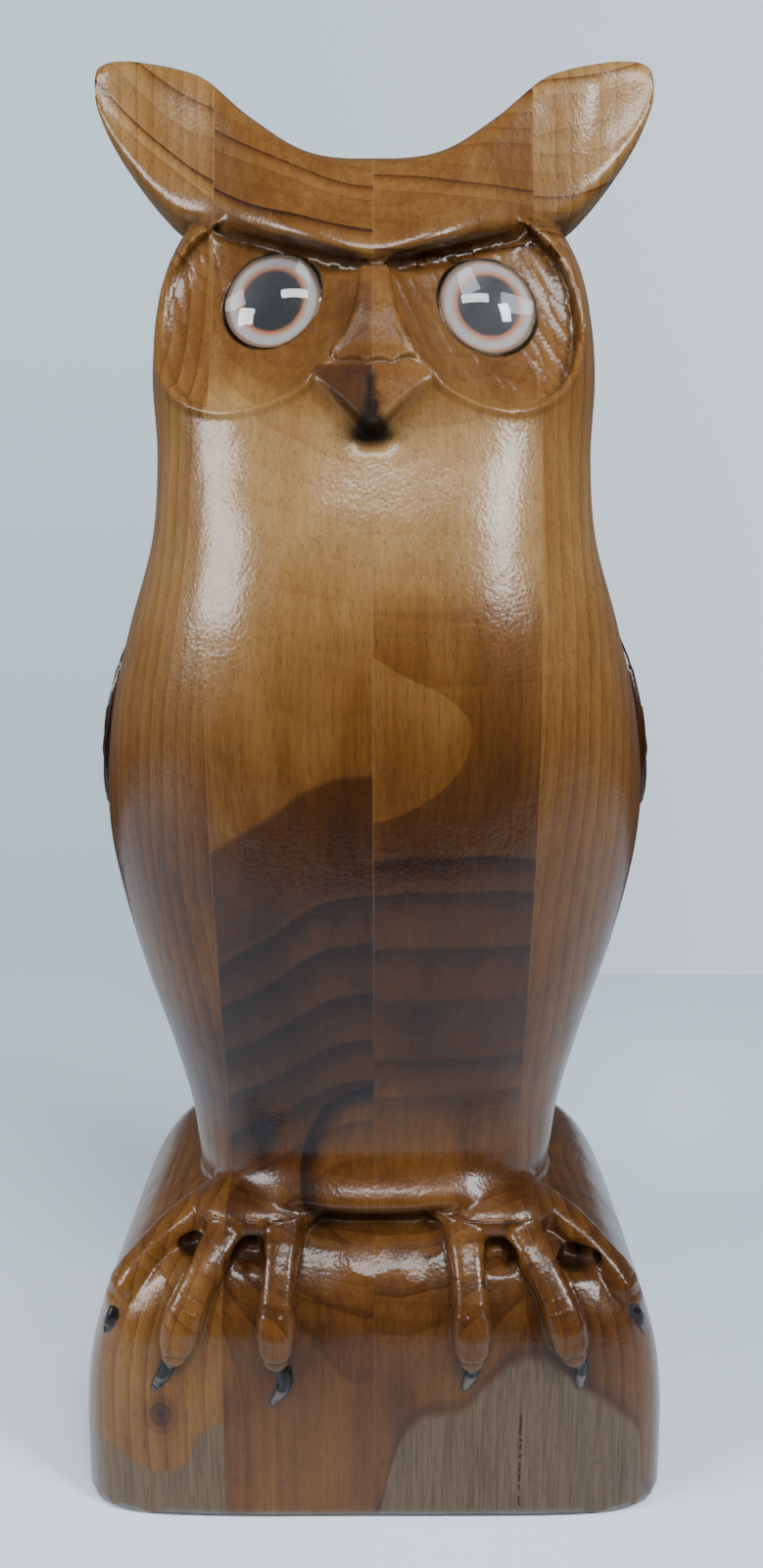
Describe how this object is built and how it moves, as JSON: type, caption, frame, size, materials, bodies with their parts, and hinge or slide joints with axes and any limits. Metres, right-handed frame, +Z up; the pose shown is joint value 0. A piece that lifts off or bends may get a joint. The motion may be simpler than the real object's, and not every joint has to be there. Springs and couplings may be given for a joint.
{
  "type": "carved wooden owl",
  "caption": "Standing owl carved from one glued-up walnut blank, with swept ears, heavy brow, sunk facial discs, domed glass eyes and clawed feet on a loaf-shaped mound",
  "frame": {"origin": "centre of the flat underside of the mound", "axes": "+Z up, the owl faces -Y, +X is to the right seen from the front"},
  "size_m": [0.1986, 0.1574, 0.467],
  "materials": {
    "walnut": "thick clear gloss lacquer over brown walnut",
    "eye_glass": "clear polished dome over a painted iris"
  },
  "bodies": {
    "root": {"owl_carving": "walnut", "eye_left": "eye_glass", "eye_right": "eye_glass"}
  },
  "joints": []
}
